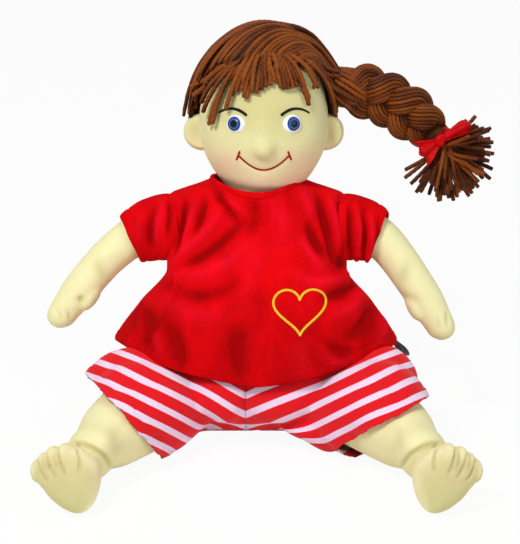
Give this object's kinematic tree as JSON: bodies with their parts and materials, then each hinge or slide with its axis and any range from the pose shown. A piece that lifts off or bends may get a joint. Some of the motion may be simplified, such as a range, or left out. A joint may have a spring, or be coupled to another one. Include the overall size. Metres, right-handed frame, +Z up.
{
  "type": "soft doll",
  "caption": "Seated soft doll with yarn hair in one side braid, a flared velour shirt and striped shorts; the head, arms, legs and braid move.",
  "frame": {"origin": "on the floor, in the middle of the flat under the seat, between the hips", "axes": "+Z up, the doll looks along -Y, and its own left side, with the braid, is +X"},
  "size_m": [0.4018, 0.2925, 0.3586],
  "materials": {
    "skin_knit": "brushed pale cream-yellow knit, matt, over polyester filling",
    "eye_plastic": "moulded oval button: pale rim, printed blue iris, black pupil, clear gloss",
    "washer_plastic": "moulded washer that locks the eye's stem inside the head",
    "black_thread": "satin-stitched embroidery thread",
    "red_thread": "satin-stitched embroidery thread",
    "yellow_thread": "satin-stitched embroidery thread",
    "hair_yarn": "thick brown plied yarn, slightly fluffy",
    "satin_ribbon": "red satin ribbon with a soft gloss",
    "velour": "red velour with a short shiny pile",
    "closure_tape": "red hook and loop tape",
    "striped_jersey": "jersey in red and white stripes about 7 mm wide",
    "elastic": "white woven elastic",
    "label_weave": "blank woven side label"
  },
  "bodies": {
    "trunk": {"torso": "skin_knit", "shorts_seat": "striped_jersey", "waist_elastic": "elastic", "shirt_front": "velour", "shirt_back_right": "velour", "shirt_back_left": "velour", "closure_loop_tape": "closure_tape", "closure_hook_tape": "closure_tape", "collar": "velour", "heart_stitching": "yellow_thread", "side_label": "label_weave"},
    "neck_plug": {"neck": "skin_knit"},
    "head_and_hair": {"head": "skin_knit", "ear_right": "skin_knit", "ear_left": "skin_knit", "eye_right": "eye_plastic", "eye_left": "eye_plastic", "eye_washer_right": "washer_plastic", "eye_washer_left": "washer_plastic", "brow_right": "black_thread", "brow_left": "black_thread", "mouth_stitching": "red_thread", "hair_cap": "hair_yarn", "fringe": "hair_yarn"},
    "braid": {"braid_root": "hair_yarn", "braid_strand_1": "hair_yarn", "braid_strand_2": "hair_yarn", "braid_strand_3": "hair_yarn", "braid_tie": "hair_yarn", "ribbon_wrap": "satin_ribbon", "bow_knot": "satin_ribbon", "bow_loop_upper": "satin_ribbon", "bow_loop_lower": "satin_ribbon", "tassel": "hair_yarn"},
    "right_arm": {"arm_right": "skin_knit", "sleeve_right": "velour"},
    "left_arm": {"arm_left": "skin_knit", "sleeve_left": "velour"},
    "right_leg": {"leg_right": "skin_knit", "foot_right": "skin_knit", "shorts_leg_right": "striped_jersey"},
    "left_leg": {"leg_left": "skin_knit", "foot_left": "skin_knit", "shorts_leg_left": "striped_jersey"}
  },
  "joints": [
    {"name": "neck_turn", "type": "hinge", "parent": "trunk", "child": "neck_plug", "pos_m": [0.006, 0.05632, 0.26498], "axis": [0, 0.2079, 0.9781], "range_deg": [-40, 40], "stiffness_Nm_per_rad": 0.6},
    {"name": "head_nod", "type": "hinge", "parent": "neck_plug", "child": "head_and_hair", "pos_m": [0.006, 0.05632, 0.26498], "axis": [1, 0, 0], "range_deg": [-15, 8], "stiffness_Nm_per_rad": 1.2},
    {"name": "braid_swing", "type": "hinge", "parent": "head_and_hair", "child": "braid", "pos_m": [0.078, 0.0775, 0.29728], "axis": [0, 0.9781, -0.2079], "range_deg": [-20, 15], "stiffness_Nm_per_rad": 0.6},
    {"name": "shoulder_right", "type": "hinge", "parent": "trunk", "child": "right_arm", "pos_m": [-0.0799, 0.03846, 0.18096], "axis": [1, 0, 0], "range_deg": [-100, 60], "stiffness_Nm_per_rad": 0.15},
    {"name": "shoulder_left", "type": "hinge", "parent": "trunk", "child": "left_arm", "pos_m": [0.0799, 0.03846, 0.18096], "axis": [1, 0, 0], "range_deg": [-100, 60], "stiffness_Nm_per_rad": 0.15},
    {"name": "hip_right", "type": "hinge", "parent": "trunk", "child": "right_leg", "pos_m": [-0.0402, 0.00915, 0.04304], "axis": [1, 0, 0], "range_deg": [0, 75], "stiffness_Nm_per_rad": 0.3},
    {"name": "hip_left", "type": "hinge", "parent": "trunk", "child": "left_leg", "pos_m": [0.0402, 0.00915, 0.04304], "axis": [1, 0, 0], "range_deg": [0, 75], "stiffness_Nm_per_rad": 0.3}
  ]
}
